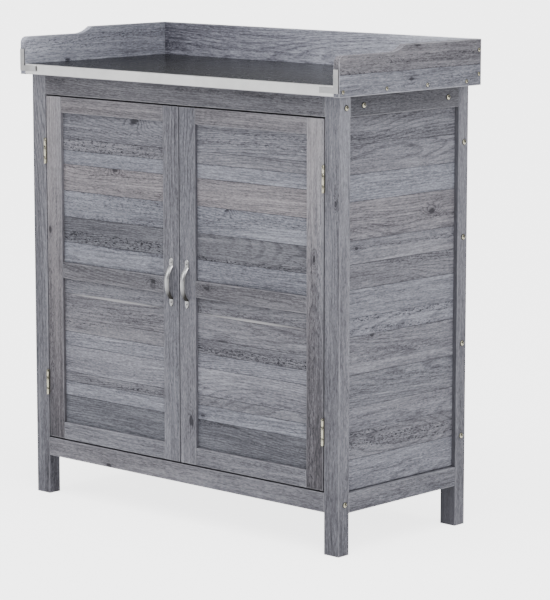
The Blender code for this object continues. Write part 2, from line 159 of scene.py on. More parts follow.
def new_material(name):
    """A material with its node tree and its shader, a Principled BSDF."""
    material = bpy.data.materials.new(name)
    material.use_nodes = True
    return material, Net(material.node_tree), material.node_tree.nodes["Principled BSDF"]


def paint(obj, material):
    obj.data.materials.clear()
    obj.data.materials.append(material)


# ---------------------------------------------------------------- timber

# Which of a box's axes run along, across and through a piece, by the direction of its grain.
GRAIN_AXES = {"x": (0, 2, 1), "y": (1, 2, 0), "z": (2, 0, 1), "x_flat": (0, 1, 2)}

VECTOR_INPUTS = ("Grain", "Centre", "Half", "ShadeDirection", "Knot")
NUMBER_INPUTS = ("Seed", "Tone", "Warmth", "Speckle", "Figure", "Knots", "ShadeDrift", "Edges", "Split", "Streak")
TIMBER_COLOURS = ((0.0, (0.040, 0.040, 0.052)), (0.3, (0.120, 0.120, 0.145)), (0.5, (0.200, 0.204, 0.240)),
                  (0.7, (0.300, 0.306, 0.352)), (1.0, (0.430, 0.440, 0.490)))
WARM_TINT, COOL_TINT = (1.09, 1.0, 0.93, 1), (0.86, 0.99, 1.08, 1)
# Colours of worn edges, of the pale line (partly a painted highlight) and of painted shade.
WORN_EDGE, PALE_LINE, SHADE_COLOUR = (0.36, 0.36, 0.39, 1), (0.34, 0.335, 0.345, 1), (0.045, 0.045, 0.055, 1)
NOWHERE = 9.0  # a height far above the bench, for a split or a streak that isn't there


def scattered_knots(n, p, share):
    """Halo and core of round knots, in about the given share of the cells that the grain space is cut into."""
    spread = (3.4, 11.0, 3.0)
    cells = n.vector("MULTIPLY", p, spread)
    knot = n.add("ShaderNodeTexVoronoi", {"Vector": cells, "Scale": 1.0})
    offset = n.vector("DIVIDE", n.vector("SUBTRACT", knot.outputs["Position"], cells), spread)
    offset = n.vector("MULTIPLY", offset, (0.5, 1.0, 0.0))
    gap = n.plus(n.vector("LENGTH", offset), n.sway(n.noise(p, (60, 160, 160)), 0.0035))
    chance = n.split(knot.outputs["Color"])
    there = n.math("LESS_THAN", chance[0], share)
    size = n.math("MULTIPLY_ADD", chance[1], 0.0034, 0.0026)
    halo = n.times(n.step(gap, 0.0, n.times(size, 4.2), 1.0, 0.0), there)
    core = n.times(n.step(gap, n.times(size, 0.45), n.times(size, 1.15), 1.0, 0.0), there)
    return halo, core


def chosen_knot(n, p, grain, spot):
    """Halo and core of one knot at a chosen spot."""
    offset = n.vector("MULTIPLY", n.vector("SUBTRACT", grain, spot), (0.55, 1.0, 0.0))
    gap = n.plus(n.vector("LENGTH", offset), n.sway(n.noise(p, (90, 220, 220), 2.0), 0.006))
    return n.step(gap, 0.0, 0.018, 1.0, 0.0), n.step(gap, 0.0012, 0.0048, 1.0, 0.0)


def growth_rings(n, p, halo, figure):
    """Late wood of rings about a heart line that wanders along the board. They bend around knots."""
    _, across, through = n.split(p)
    wander = n.noise(p, (1.5, 0.6, 0.6), 1.0)
    off_heart = n.plus(across, n.sway(n.noise(p, (1.2, 3, 3), 1.0), 0.06))
    from_heart = n.math("PINGPONG", off_heart, 0.07)
    depth = n.plus(n.math("PINGPONG", through, 0.06), n.times(wander, 0.09))
    radius = n.math("SQRT", n.plus(n.times(from_heart, from_heart), n.times(depth, depth)))
    radius = n.plus(radius, n.sway(n.noise(p, (9, 45, 45), 2.0), 0.0045))
    ring = n.math("FRACT", n.plus(n.times(radius, 340.0), n.times(halo, 3.4)))
    late = n.minus(n.step(ring, 0.45, 0.86), n.step(ring, 0.9, 1.0))
    shown = n.plus(n.step(n.noise(p, (1.9, 11, 11), 1.0), 0.36, 0.58), halo)
    return n.times(late, n.times(shown, figure))


def torn_specks(n, p, amount):
    """Rows of short dark specks where the plane has torn the fibres."""
    rows = n.times(n.step(n.noise(p, (1.3, 42, 42), 1.0), 0.53, 0.60), amount)
    return n.times(n.step(n.noise(p, (150, 400, 400), 2.0, 0.65, 0.6), 0.53, 0.61), rows)


def wear(n, p, given):
    """Worn edges and cut end faces, from the distances to the faces of the piece's box."""
    from_centre = n.vector("ABSOLUTE", n.vector("SUBTRACT", given["Grain"], given["Centre"]))
    a, b, c = n.split(n.vector("SUBTRACT", given["Half"], from_centre))
    # The middle one of the three distances is the distance to the nearest edge.
    edge = n.larger(n.smaller(a, b), n.smaller(n.larger(a, b), c))
    ragged = n.plus(edge, n.sway(n.noise(p, (25, 220, 220), 2.0), 0.0028))
    return n.step(ragged, 0.0004, 0.0018, 1.0, 0.0), n.step(a, 0.0001, 0.0006, 1.0, 0.0)


def tinted(n, colour, warmth):
    """The colour made warmer where warmth is above zero, and cooler where it is below."""
    warm, cool = n.larger(warmth, 0.0), n.larger(n.times(warmth, -1.0), 0.0)
    colour = n.mix(warm, colour, n.mix(1.0, colour, WARM_TINT, "MULTIPLY"))
    return n.mix(cool, colour, n.mix(1.0, colour, COOL_TINT, "MULTIPLY"))


def pale_line(n, colour, height, line_height, along):
    """The colour with a pale line along the grain at one height, which tapers towards both ends. The line is
    partly a pale streak in the wood and partly a painted highlight.
    """
    taper = n.minus(1.0, n.times(along, along))
    off_line = n.math("ABSOLUTE", n.minus(height, line_height))
    line = n.step(off_line, n.times(taper, 0.0014), n.plus(n.times(taper, 0.0024), 0.0004), 0.9, 0.0)
    return n.mix(n.times(line, taper), colour, PALE_LINE)


def timber_group():
    """Grey weathered softwood: fibres, growth rings, knots, torn specks, pale streaks and worn edges, with
    painted shade and light by which way a face looks, painted shade along the piece, and a pale line that is
    partly a painted highlight.
    """
    group = bpy.data.node_groups.new("weathered_timber", "ShaderNodeTree")
    for name in VECTOR_INPUTS:
        group.interface.new_socket(name, in_out="INPUT", socket_type="NodeSocketVector")
    for name in NUMBER_INPUTS:
        group.interface.new_socket(name, in_out="INPUT", socket_type="NodeSocketFloat")
    for name, kind in (("Color", "Color"), ("Roughness", "Float"), ("Normal", "Vector")):
        group.interface.new_socket(name, in_out="OUTPUT", socket_type="NodeSocket" + kind)
    n = Net(group)
    given = n.add("NodeGroupInput").outputs

    # p is the grain space (along, across and through), moved to another place for each board.
    height = n.split(given["Grain"])[1]  # across the board, which is upwards where its grain is level
    upper = n.math("GREATER_THAN", height, given["Split"])  # 1 on a second board, glued on above the split
    seed = n.plus(given["Seed"], n.attribute("board_seed"), n.times(upper, 1.9))
    shift = n.join(n.times(seed, 1.37), n.times(seed, 0.71), n.times(seed, 0.53))
    p = n.vector("ADD", given["Grain"], shift)

    halo, core = scattered_knots(n, p, given["Knots"])
    own_halo, own_core = chosen_knot(n, p, given["Grain"], given["Knot"])
    halo, core = n.larger(halo, own_halo), n.larger(core, own_core)
    rings = growth_rings(n, p, halo, given["Figure"])
    torn = torn_specks(n, p, n.plus(given["Speckle"], n.attribute("board_speckle"), n.times(upper, 0.8)))
    worn, end_face = wear(n, p, given)

    # Fibres at four widths, and slow changes of tone.
    streaks = n.noise(p, (6.5, 170, 170), 3.0, 0.65)
    fibres = n.noise(p, (24, 480, 480), 2.0, 0.7)
    flecks = n.noise(p, (130, 540, 540), 2.0, 0.6, 0.6)
    hairs = n.noise(p, (70, 1500, 1500), 1.0)
    blotch = n.noise(p, (3.2, 22, 22), 3.0, 0.55)
    pale = n.step(n.noise(p, (2.4, 80, 80), 1.0), 0.58, 0.74)

    seam = n.step(n.math("ABSOLUTE", n.minus(height, given["Split"])), 0.0003, 0.0010, 1.0, 0.0)
    joint = n.plus(n.math("POWER", n.attribute("board_edge"), 2.0), seam)
    from_centre = n.vector("SUBTRACT", given["Grain"], given["Centre"])
    along = n.split(n.vector("DIVIDE", from_centre, given["Half"]))[0]
    # The last term paints shade along the piece: darker towards one end, lighter towards the other.
    value = n.plus(0.5, n.sway(blotch, 0.5), n.sway(streaks, 0.55), n.sway(fibres, 0.6), n.sway(hairs, 0.35),
                   n.sway(flecks, 0.9), n.times(joint, -0.24), n.times(rings, -0.14), n.times(torn, -0.42),
                   n.times(core, -0.5), n.times(halo, -0.12), n.times(pale, 0.14), n.times(end_face, -0.12),
                   n.times(along, given["ShadeDrift"]))
    warmth = n.times(n.plus(given["Warmth"], n.attribute("board_warmth"), n.times(upper, 0.9)),
                     n.step(n.noise(p, (1.3, 9, 9), 1.0), 0.1, 0.7))
    colour = tinted(n, n.ramp(value, TIMBER_COLOURS), warmth)
    # Painted shade on faces that look along the shade direction, painted light on faces that look against it.
    shade_facing = n.facing(given["ShadeDirection"])
    tone = n.plus(given["Tone"], n.attribute("board_tone"), n.times(upper, -0.16))
    tone = n.times(tone, n.plus(1.0, n.larger(n.times(shade_facing, -1.0), 0.0)))
    colour = n.scaled(colour, tone)
    colour = n.mix(n.times(worn, given["Edges"]), colour, WORN_EDGE)
    colour = pale_line(n, colour, height, given["Streak"], along)
    colour = n.mix(n.larger(shade_facing, 0.0), colour, SHADE_COLOUR)

    rough = n.plus(0.60, n.times(streaks, 0.22), n.times(torn, 0.12), n.times(worn, -0.05))
    relief = n.plus(n.times(fibres, 0.5), n.times(hairs, 0.3), n.times(flecks, 0.5), n.times(rings, -0.35),
                    n.times(torn, -0.9), n.times(core, -0.4), n.times(streaks, 0.5))
    n.add("NodeGroupOutput", {"Color": colour, "Roughness": rough, "Normal": n.bump(0.55, 0.0007, relief)})
    return group


TIMBER = timber_group()


def timber(name, node, axis, seed, tone=1.0, warmth=0.3, speckle=0.35, figure=0.9, knots=0.28, shade_drift=0.0,
           edges=0.35, shade_direction=(0, 0, 0), split=NOWHERE, streak=NOWHERE, knot=(90, 90, 0)):
    """A timber material whose grain runs along axis, for the piece that fills the CAD node's box.

    tone multiplies the colour, and a drift paints shade along the piece: it brightens the colour towards the
    far end. Faces that look along the shade direction get painted shade, and those that look against it get
    painted light. Where the grain is level, split is the height of a glued joint and streak that of a pale
    line, which is partly a painted highlight. knot places one more knot, in shares of the box along and across;
    by default it lies far outside."""
    material, n, shader = new_material(name)
    place = n.split(n.place())
    order = GRAIN_AXES[axis]
    low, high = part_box(node)
    centre, half = (low + high) / 2, (high - low) / 2
    spot = [low[i] + share * (high[i] - low[i]) for i, share in zip(order, knot)]
    wood = n.add("ShaderNodeGroup", node_tree=TIMBER)
    n.feed(wood, {"Grain": n.join(*(place[i] for i in order)), "Centre": [centre[i] for i in order],
                  "Half": [half[i] for i in order], "Seed": seed, "Tone": tone, "Warmth": warmth,
                  "Speckle": speckle, "Figure": figure, "Knots": knots, "ShadeDrift": shade_drift, "Edges": edges,
                  "ShadeDirection": shade_direction, "Split": split, "Streak": streak, "Knot": spot})
    shader.inputs["Specular IOR Level"].default_value = 0.3
    n.feed(shader, {"Base Color": wood.outputs["Color"], "Roughness": wood.outputs["Roughness"],
                    "Normal": wood.outputs["Normal"]})
    return material


# The shade directions and drifts below paint shade and light: darker fronts on the front legs, darker front
# faces on the rear legs where they show in the recess beside the side panels, darker right-facing sides on the
# stiles, and darker undersides with lighter tops on the splash boards. Legs and stiles get darker towards the
# floor, and the splash boards towards the corner where they meet.
MEMBERS = {  # CAD node: (grain axis, what differs from a plain board)
    "leg_front_left": ("z", dict(tone=0.66, shade_drift=0.14, figure=1.5, shade_direction=(0, -0.1, 0))),
    "leg_front_right": ("z", dict(tone=0.69, shade_drift=0.14, figure=1.7, shade_direction=(0, -0.18, 0))),
    "leg_rear_left": ("z", dict(tone=0.76, shade_drift=0.05, shade_direction=(0, -0.75, 0))),
    "leg_rear_right": ("z", dict(tone=0.64, shade_drift=0.05, shade_direction=(0, -0.75, 0))),
    "front_top_rail": ("x", dict(tone=0.50, warmth=0.5, speckle=0.6)),
    "front_bottom_rail": ("x", dict(tone=0.66, warmth=0.5)),
    "rear_top_rail": ("x", dict(tone=0.8)),
    "rear_bottom_rail": ("x", dict(tone=0.8)),
    "middle_shelf": ("x_flat", dict(tone=0.85)),
    "floor_panel": ("x_flat", dict(tone=0.85)),
    "worktop_board": ("x_flat", dict(tone=0.85)),
    "worktop_batten_front": ("x", dict(tone=0.8)),
    "worktop_batten_rear": ("x", dict(tone=0.8)),
    "splash_back": ("x", dict(tone=1.84, shade_drift=0.34, warmth=0.0, figure=1.1, shade_direction=(0, 0, -0.2))),
    "splash_left": ("y", dict(tone=1.42, shade_drift=-0.12, speckle=0.6, warmth=-0.12, shade_direction=(0, 0, -0.3))),
    "splash_right": ("y", dict(tone=0.79, speckle=0.5, warmth=-0.1, split=0.8735, edges=0.8,
                               shade_direction=(0, 0, -0.6))),
}
for side, s in SIDES.items():
    MEMBERS.update({
        # Painted shade: the side top rails are darker for the shade under the worktop's overhang.
        f"side_top_rail_{side}": ("y", dict(tone=0.39, figure=3.0)),
        f"side_bottom_rail_{side}": ("y", dict(tone=0.66)),
        f"shelf_batten_{side}": ("y", dict(tone=0.8)),
        f"door_{side}_hinge_stile": ("z", dict(tone=0.67, warmth=1.0, speckle=0.6, shade_drift=0.36,
                                               shade_direction=(0.5, 0, 0))),
        f"door_{side}_centre_stile": ("z", dict(tone=0.67, figure=1.3, shade_direction=(0.5, 0, 0))),
        f"door_{side}_top_rail": ("x", dict(tone=0.63, warmth=1.1)),
        f"door_{side}_mid_rail": ("x", dict(tone=0.55, warmth=0.5, figure=1.3, knot=(0.5 - 0.4 * s, 0.62, 0))),
        f"door_{side}_bottom_rail": ("x", dict(tone=0.66)),
    })
draw = random.Random(7)
for node, (axis, options) in MEMBERS.items():
    paint(NODES[node], timber("timber_" + node, node, axis, draw.uniform(0, 4), **options))

# ---------------------------------------------------------------- meshes

CREASE = math.radians(35)


def new_piece(name, verts, faces, material, body, replaced=()):
    """One mesh piece that rides on a body. Its faces point out, and are smooth up to the crease angle."""
    mesh = bpy.data.meshes.new(name)
    mesh.from_pydata(verts, [], faces)
    shell = bmesh.new()
    shell.from_mesh(mesh)
    bmesh.ops.recalc_face_normals(shell, faces=shell.faces)
    shell.to_mesh(mesh)
    shell.free()
    mesh.shade_smooth()
    mesh.set_sharp_from_angle(angle=CREASE)
    obj = bpy.data.objects.new(name, mesh)
    bpy.context.scene.collection.objects.link(obj)
    paint(obj, material)
    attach(obj, body)
    if replaced:
        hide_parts(*replaced)
    return obj


def add_shell(verts, faces, rings, loop=False):
    """Adds a surface through rings of equally many points, closed by its end rings.

    With loop, the last ring is joined to the first instead."""
    start, count = len(verts), len(rings[0])
    for ring in rings:
        verts.extend(tuple(point) for point in ring)
    spans = len(rings) if loop else len(rings) - 1
    for i in range(spans):
        here, there = start + i * count, start + (i + 1) % len(rings) * count
        for k in range(count):
            nxt = (k + 1) % count
            faces.append((here + k, here + nxt, there + nxt, there + k))
    if not loop:
        faces.append(tuple(start + k for k in reversed(range(count))))
        faces.append(tuple(start + spans * count + k for k in range(count)))


def mark_points(obj, name, values):
    """Stores one number per vertex, which a material reads by name."""
    obj.data.attributes.new(name, "FLOAT", "POINT").data.foreach_set("value", values)


# ---------------------------------------------------------------- panels of glued boards

# Each board's lower edge, then its tone, warmth and specks, from the top of the panel down.
DOOR_BOARDS = {
    "upper": ((0.713, 0.01, -0.1, 0.3), (0.690, 0.0, 0.0, 0.7), (0.663, 0.14, -0.3, 0.0),
              (0.611, 0.06, 0.9, 0.1), (0.560, 0.07, -0.3, 0.2), (0.510, -0.20, -0.1, 1.0),
              (0.464, 0.12, -0.3, 0.0)),
    "lower": ((0.409, -0.10, 0.0, 0.2), (0.360, -0.05, 0.1, 0.1), (0.333, -0.06, 0.1, 1.0),
              (0.306, 0.13, -0.2, 0.0), (0.253, 0.12, -0.1, 0.1), (0.234, -0.06, 0.0, 0.9),
              (0.206, 0.12, -0.3, 0.0), (0.145, -0.21, -0.25, 0.2)),
}
SIDE_BOARDS = ((0.745, -0.07, 0.0, 0.1), (0.692, 0.03, 0.0, 0.9), (0.643, 0.13, -0.3, 0.0),
               (0.573, 0.04, 0.3, 0.2), (0.530, 0.0, 0.2, 0.3), (0.484, -0.03, 0.0, 0.3),
               (0.432, 0.05, -0.2, 0.1), (0.398, 0.12, -0.2, 0.8), (0.328, 0.03, 0.0, 0.1),
               (0.268, -0.05, 0.0, 0.1), (0.223, 0.07, 0.0, 0.0), (0.173, 0.0, 0.0, 0.8),
               (0.108, 0.12, -0.2, 0.0))
BACK_BOARDS = ((0.715, -0.05, 0.1, 0.3), (0.632, 0.05, 0.0, 0.6), (0.548, 0.10, -0.2, 0.1),
               (0.470, -0.08, 0.4, 0.2), (0.386, 0.02, 0.0, 0.7), (0.300, 0.08, -0.2, 0.1),
               (0.212, -0.10, 0.2, 0.4), (0.114, 0.04, 0.0, 0.2))
BOARD_MARKS = ("board_seed", "board_tone", "board_warmth", "board_speckle")
BOARD_EASE = 0.0004      # how far a board's edges are rounded off
BOARD_DARK = 0.0014      # how far dirt reaches from a joint between boards
BOARD_STEP = 0.00018     # how far one board's faces may lie below its neighbour's
REBATE_DEPTH = 0.0022    # how far each face of a side panel is cut back at its bottom rail
REBATE_HEIGHT = 0.0022   # how much of that cut shows above the rail
# The pale line lies at the second board's eased top edge: partly a pale streak in the wood, partly a painted
# highlight of that edge.
DOOR_STREAK = DOOR_BOARDS["lower"][0][0] - 0.001    # a pale line along the lower panels' second board


def board_outline(near, far, bottom, top, rebate):
    """A board's cross-section as (depth, height). Below the height rebate, if it has one, it is thinner."""
    cut = REBATE_DEPTH if rebate and bottom < rebate else 0.0
    foot = rebate if cut else bottom
    outline = [(near, foot + BOARD_EASE), (near, foot + BOARD_DARK), (near, top - BOARD_DARK),
               (near, top - BOARD_EASE), (near + BOARD_EASE, top), (far - BOARD_EASE, top),
               (far, top - BOARD_EASE), (far, top - BOARD_DARK), (far, foot + BOARD_DARK),
               (far, foot + BOARD_EASE), (far - BOARD_EASE - cut, foot)]
    if cut:
        outline += [(far - BOARD_EASE - cut, bottom), (near + BOARD_EASE + cut, bottom)]
    outline.append((near + BOARD_EASE + cut, foot))
    return outline


def glued_panel(node, axis, boards, body, seed, tone=0.735, streak=NOWHERE, rebate=None):
    """Replaces a panel with boards glued edge to edge, each with eased edges and its own place in the grain.

    Below the height rebate both faces of the lowest board are cut back, which leaves a shadow line."""
    low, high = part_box(node)
    run, face = (0, 1) if axis == "x" else (1, 0)
    draw = random.Random(seed)
    verts, faces, marks, dirt = [], [], [], []
    top = high.z
    for bottom, own_tone, warmth, specks in boards:
        bottom = max(bottom, low.z)
        skin = draw.uniform(0.0, BOARD_STEP)
        outline = board_outline(low[face] + skin, high[face] - skin, bottom, top, rebate)
        rings = []
        for end in (low[run], high[run]):
            ring = [(end, a, z) if run == 0 else (a, end, z) for a, z in outline]
            rings.append(ring if run == 0 else ring[::-1])
            dirt += [0.0 if min(z - bottom, top - z) > 0.9 * BOARD_DARK else 1.0 for _, _, z in rings[-1]]
        count = len(faces)
        add_shell(verts, faces, rings)
        marks += [(draw.uniform(0, 5), own_tone, 1.4 * warmth, specks)] * (len(faces) - count)
        top = bottom
    material = timber("timber_" + node, node, axis, 0.0, tone=tone, figure=1.2, edges=0.0, streak=streak)
    panel = new_piece(node + "_boards", verts, faces, material, body, [node])
    for name, values in zip(BOARD_MARKS, zip(*marks)):
        panel.data.attributes.new(name, "FLOAT", "FACE").data.foreach_set("value", values)
    mark_points(panel, "board_edge", dirt)


for side in SIDES:
    shadow_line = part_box(f"side_bottom_rail_{side}")[1].z + REBATE_HEIGHT
    glued_panel(f"side_panel_{side}", "y", SIDE_BOARDS, "carcass", 11, tone=0.72, rebate=shadow_line)
    for level, boards in DOOR_BOARDS.items():
        glued_panel(f"door_{side}_{level}_panel", "x", boards, f"door_{side}", len(side) + len(level),
                    streak=DOOR_STREAK)
glued_panel("back_panel", "x", BACK_BOARDS, "carcass", 5)

# ---------------------------------------------------------------- metals and plastic

# The colours of the painted highlight and of the painted shade on metal.
HIGHLIGHT_COLOUR, METAL_SHADE_COLOUR = (0.93, 0.93, 0.935, 1), (0.035, 0.033, 0.030, 1)


def metal(name, colour, dull, roughness, brushed=(900, 900, 60), patches=0.12, bump=0.15, shade_direction=(0, 0, 0),
          tint=1.0, reflection_fade=0.0, highlight_strength=0.0, cloudy=0.75):
    """Bare metal: colour for the clean parts, dull for the hazed ones, with fine brushing and scratches.

    Faces that look along the shade direction get painted shade, and the highlight strength paints a highlight
    on those that look against it. cloudy is how far the haze varies from place to place, and the fade paints a
    reflection, darker towards the left: it adds this much haze a metre to the left. patches is how far
    roughness varies, and tint darkens what is seen at a low angle."""
    material, n, shader = new_material(name)
    place = n.place()
    haze = n.noise(place, (22, 22, 22), 4.0, 0.6)
    lines = n.noise(place, brushed, 2.0)
    marks = n.step(n.noise(place, (260, 35, 150), 1.0), 0.70, 0.78)
    # The haze, brushing and scratches are the metal's own; the term that grows to the left paints a reflection,
    # darker towards the left.
    blend = n.plus(0.375, n.sway(n.step(haze, 0.35, 0.68), cloudy), n.sway(lines, 0.5), n.times(marks, 0.3),
                   n.times(n.split(place)[0], -reflection_fade))
    # Painted shade on faces that look along the shade direction, and on points that a piece marks for it.
    shade_facing = n.facing(shade_direction)
    painted_shade = n.larger(n.attribute("painted_shade"), shade_facing)
    # Painted highlight on faces that look against the shade direction.
    painted_highlight = n.smaller(n.larger(n.times(shade_facing, -highlight_strength), 0.0), 1.0)
    clean = n.mix(painted_highlight, n.mix(blend, (*colour, 1), (*dull, 1)), HIGHLIGHT_COLOUR)
    relief = n.plus(n.times(lines, 0.5), n.times(haze, 0.3), n.times(marks, -0.4))
    shader.inputs["Metallic"].default_value = 1.0
    shader.inputs["Specular Tint"].default_value = (tint, tint, tint, 1)
    n.feed(shader, {"Base Color": n.mix(painted_shade, clean, METAL_SHADE_COLOUR), "Normal": n.bump(bump, 0.0003, relief),
                    "Roughness": n.plus(roughness - patches / 2, n.times(haze, patches), n.times(marks, 0.08),
                                        n.times(painted_shade, 0.3))})
    return material


def plastic(name, light, dark):
    """Matt moulded plastic with a fine spark texture and faint soiling."""
    material, n, shader = new_material(name)
    place = n.place()
    grain = n.noise(place, (1600, 1600, 1600), 1.0)
    soil = n.noise(place, (90, 90, 90), 4.0, 0.6)
    n.feed(shader, {"Base Color": n.mix(n.step(soil, 0.35, 0.75), (*light, 1), (*dark, 1)),
                    "Roughness": n.plus(0.42, n.times(soil, 0.2)), "Normal": n.bump(0.3, 0.0002, grain)})
    return material


# The sheet's fade paints a reflection: the sheet gets darker towards the left.
SHEET_METAL = metal("worktop_zinc", (0.31, 0.315, 0.325), (0.095, 0.097, 0.104), 0.26,
                    brushed=(40, 700, 700), tint=0.60, reflection_fade=1.7, cloudy=0.16)
EDGE_METAL = metal("edge_zinc", (0.75, 0.75, 0.745), (0.65, 0.65, 0.645), 0.40, brushed=(30, 900, 900))
# The brackets get painted shade on faces that look to the right, such as their cut ends.
BRACKET_METAL = metal("bracket_zinc", (0.47, 0.47, 0.475), (0.31, 0.31, 0.315), 0.38,
                      brushed=(150, 420, 420), shade_direction=(1.0, 0, 0))
# The handles get painted shade on faces that look right and down, and a painted highlight on faces that look
# left and up.
NICKEL = metal("satin_nickel", (0.41, 0.41, 0.415), (0.30, 0.30, 0.305), 0.30, brushed=(900, 700, 120),
               bump=0.05, shade_direction=(0.8, 0, -1.8), highlight_strength=1.2)
ZINC = metal("yellow_zinc", (0.54, 0.52, 0.41), (0.36, 0.335, 0.235), 0.24, brushed=(700, 700, 700))
PALE_PLASTIC = plastic("catch_plastic", (0.74, 0.72, 0.66), (0.55, 0.52, 0.45))

paint(NODES["worktop_sheet"], SHEET_METAL)
paint(NODES["front_edge_strip"], EDGE_METAL)
paint(NODES["magnetic_catch"], PALE_PLASTIC)
for side in SIDES:
    paint(NODES[f"corner_bracket_{side}"], BRACKET_METAL)
    paint(NODES[f"strike_plate_{side}"], ZINC)

# ---------------------------------------------------------------- screws and bolts

HEAD_POINTS = 32


def radial(shape, radius, angle):
    """The radius of a round, six-sided or cross-shaped outline at an angle."""
    if shape == "hex":
        part = (angle + math.pi / 6) % (math.pi / 3) - math.pi / 6
        return radius / math.cos(part) * math.cos(math.pi / 6)
    if shape == "cross":
        part = abs((angle + math.pi / 4) % (math.pi / 2) - math.pi / 4)
        half_arm = 0.27 * radius
        return min(radius / max(math.cos(part), 1e-6), half_arm / max(math.sin(part), 1e-6))
    return radius


def head_rings(profile, matrix, turn):
    """Rings of a turned head, from its rim to the middle of its recess."""
    rings = []
    for radius, height, shape in profile:
        ring = []
        for k in range(HEAD_POINTS):
            angle = 2 * math.pi * k / HEAD_POINTS
            r = radial(shape, radius, angle)
            ring.append(matrix @ Vector((r * math.cos(angle + turn), r * math.sin(angle + turn), height)))
        rings.append(ring)
    return rings


def dome(radius, height, recess, socket_radius, depth):
    """Profile of a domed head on a thin flange, with a recess of the given outline."""
    flange = radius * 1.13
    rim = [(flange, 0.0), (flange, height * 0.10), (radius, height * 0.13), (radius, height * 0.24)]
    curve = [(radius * math.cos(t), height * (0.24 + 0.76 * math.sin(t))) for t in (0.25, 0.5, 0.75, 1.0, 1.12)]
    lip = height * 0.985
    socket = [(socket_radius * 1.1, lip, recess), (socket_radius, lip - 0.0001, recess),
              (socket_radius * 0.9, lip - depth, recess), (socket_radius * 0.2, lip - depth * 1.15, "round")]
    return [(r, z, "round") for r, z in rim + curve] + socket


BOLT = dome(0.0050, 0.0030, "hex", 0.0018, 0.0018)
PAN_SCREW = dome(0.0036, 0.0019, "cross", 0.0021, 0.0009)
SMALL_SCREW = dome(0.0022, 0.0008, "cross", 0.0014, 0.0004)
LEAF_SCREW = dome(0.0019, 0.0002, "cross", 0.0012, 0.0001)
FACING = {"+x": Vector((1, 0, 0)), "-x": Vector((-1, 0, 0)), "+y": Vector((0, 1, 0)), "-y": Vector((0, -1, 0))}


def fasteners(name, profile, places, facing, body, material=ZINC):
    """One piece of heads, all with the same profile, standing on a face. Painted shade darkens their rims and
    recesses.
    """
    draw = random.Random(name)
    verts, faces = [], []
    turn = FACING[facing].to_track_quat("Z", "Y").to_matrix().to_4x4()
    for place in places:
        matrix = Matrix.Translation(place) @ turn
        add_shell(verts, faces, head_rings(profile, matrix, draw.uniform(0, math.pi)))
    heads = new_piece(name, verts, faces, material, body)
    last = len(profile) - 1
    # Painted shade: full on the flange, the rim and the recess, about half on the dome's first ring.
    ring_shade = [1.0 if k < 4 or k > last - 3 else 0.55 if k == 4 else 0.0 for k in range(len(profile))]
    mark_points(heads, "painted_shade", [value for value in ring_shade for _ in range(HEAD_POINTS)] * len(places))


# Places on a side of the bench as (y, z), and on its rear as x or z.
SIDE_BOLTS = ((-0.163, 0.8135), (-0.116, 0.816), (0.1206, 0.816), (0.168, 0.7295), (0.168, 0.5514),
              (0.168, 0.3501), (0.168, 0.1729), (-0.1635, 0.0948))
SPLASH_SCREWS = ((-0.1874, 0.8435), (-0.069, 0.8435), (0.0446, 0.8435), (0.1573, 0.8435), (0.1935, 0.900),
                 (0.1935, 0.8553))
RAIL_BOLT_REACH = 0.15       # bolts nearer the middle than this stand on the rail, the others on a leg
REAR_BOLT_X, REAR_BOLT_Z = 0.384, (0.8155, 0.0962)
REAR_SCREW_X, REAR_SCREW_Z = (-0.34, -0.17, 0.0, 0.17, 0.34), 0.8435


def all_fasteners():
    rail_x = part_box("side_top_rail_right")[1].x
    leg_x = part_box("leg_front_right")[1].x
    splash_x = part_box("splash_right")[1].x
    rear_y, splash_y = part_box("leg_rear_left")[1].y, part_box("splash_back")[1].y
    for side, s in SIDES.items():
        facing = "+x" if s > 0 else "-x"
        bolts = [(s * (rail_x if abs(y) < RAIL_BOLT_REACH else leg_x), y, z) for y, z in SIDE_BOLTS]
        fasteners(f"side_bolts_{side}", BOLT, bolts, facing, "carcass")
        screws = [(s * splash_x, y, z) for y, z in SPLASH_SCREWS]
        fasteners(f"splash_screws_{side}", PAN_SCREW, screws, facing, "carcass")
    bolts = [(s * REAR_BOLT_X, rear_y, z) for s in (-1, 1) for z in REAR_BOLT_Z]
    fasteners("rear_bolts", BOLT, bolts, "+y", "carcass")
    screws = [(x, splash_y, REAR_SCREW_Z) for x in REAR_SCREW_X]
    fasteners("splash_screws_rear", PAN_SCREW, screws, "+y", "carcass")


all_fasteners()

# ---------------------------------------------------------------- hinges

HINGE_Y = -0.1827                                    # all pin lines stand at this depth
KNUCKLE_R, BORE_R, PIN_R = 0.0026, 0.0014, 0.0011
KNUCKLE_EASE, PLATE_EASE = 0.0005, 0.0002
KNUCKLE_POINTS, PIN_POINTS = 28, 24
KNUCKLE_ENDS = {"leg": ((-0.0247, -0.0109), (0.0109, 0.0247)), "door": ((-0.0105, 0.0105),)}
LEAF_HALF_HEIGHT = 0.0247
LEAF_INNER, LEAF_OUTER = 0.0003, 0.0012              # the leaf's two faces, across from the pin line
TAB_START, TAB_END = 0.0021, 0.0032                  # from the pin line back: where tabs run to the leaf
LEAF_START, LEAF_SCREW_ROW, LEAF_END = 0.0031, 0.0115, 0.018
LEAF_SCREW_HEIGHTS = (-0.017, 0.0, 0.017)
# Painted shade on the leaves and tabs, which lie in the gap beside the door, and a little on the knuckles' ends
# and bores.
LEAF_SHADE, KNUCKLE_END_SHADE = 0.75, 0.25
# The pin's head as (radius, distance from its end).
PIN_HEAD = ((0.0004, 0.0), (0.0012, 0.0001), (0.0018, 0.0004), (0.0018, 0.0006), (PIN_R, 0.0006))


def circle(x, y, z, radius, count, turn=1):
    """Points around a vertical axis; turn is -1 for the other way around."""
    angles = [2 * math.pi * k / count for k in range(count)]
    return [Vector((x + radius * math.cos(a), y + turn * radius * math.sin(a), z)) for a in angles]


